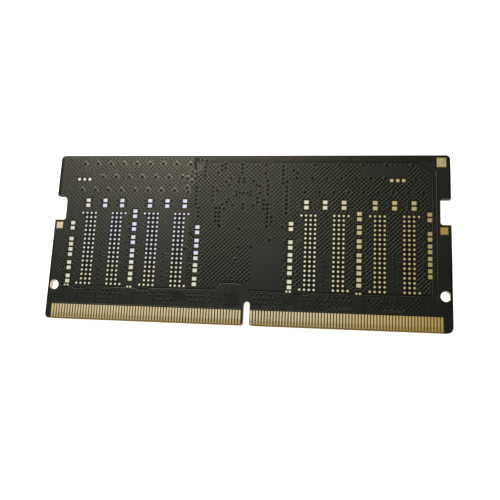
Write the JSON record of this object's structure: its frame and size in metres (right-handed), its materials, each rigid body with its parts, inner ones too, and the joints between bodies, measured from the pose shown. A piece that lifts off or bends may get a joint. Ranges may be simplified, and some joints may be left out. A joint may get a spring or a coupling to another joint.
{
  "type": "laptop memory module",
  "caption": "Plug-in laptop memory board with edge contacts, key notch, latch notches, empty chip lands on one face and memory chips on the other.",
  "frame": {"origin": "below the centre of the board, on the plane of the memory chips' outer faces, on which the module lies", "axes": "+X along the contact edge, +Y from the contact edge to the top edge, +Z out of the face with empty lands"},
  "size_m": [0.0696, 0.03, 0.0022],
  "materials": {
    "laminate": "bare glass-fibre laminate, matte",
    "solder_mask": "black solder mask, satin",
    "gold": "gold plating, satin",
    "moulding": "moulded chip body, fine matte grain",
    "carrier": "chip carrier plate, satin",
    "solder": "solder, satin",
    "tin": "tinned terminals, satin",
    "ceramic": "fired capacitor ceramic, matte",
    "resistor": "glazed resistor film, satin",
    "ferrite": "pressed metal powder, matte"
  },
  "bodies": {
    "root": {"capacitor_bodies": "ceramic", "capacitor_ends": "tin", "chip_carrier_1": "carrier", "chip_carrier_2": "carrier", "chip_carrier_3": "carrier", "chip_carrier_4": "carrier", "circuit_board": "laminate", "corner_land": "gold", "hub_chip": "moulding", "hub_chip_terminals": "tin", "inductor_blocks": "ferrite", "inductor_shoes": "tin", "large_capacitor_bodies": "ceramic", "large_capacitor_ends": "tin", "lower_capacitor_lands": "gold", "lower_chip_lands_1": "gold", "lower_chip_lands_2": "gold", "lower_chip_lands_3": "gold", "lower_chip_lands_4": "gold", "lower_contacts": "gold", "lower_part_lands": "gold", "lower_resistor_lands": "gold", "lower_solder_mask": "solder_mask", "memory_chip_1": "moulding", "memory_chip_2": "moulding", "memory_chip_3": "moulding", "memory_chip_4": "moulding", "power_chip": "moulding", "power_chip_terminals": "tin", "resistor_array_bodies": "resistor", "resistor_array_ends": "tin", "resistor_bodies": "resistor", "resistor_ends": "tin", "side_lands": "gold", "solder_balls_1": "solder", "solder_balls_2": "solder", "solder_balls_3": "solder", "solder_balls_4": "solder", "test_lands": "gold", "upper_capacitor_lands": "gold", "upper_chip_lands_1": "gold", "upper_chip_lands_2": "gold", "upper_chip_lands_3": "gold", "upper_chip_lands_4": "gold", "upper_contacts": "gold", "upper_resistor_lands": "gold", "upper_solder_mask": "solder_mask"}
  },
  "joints": []
}
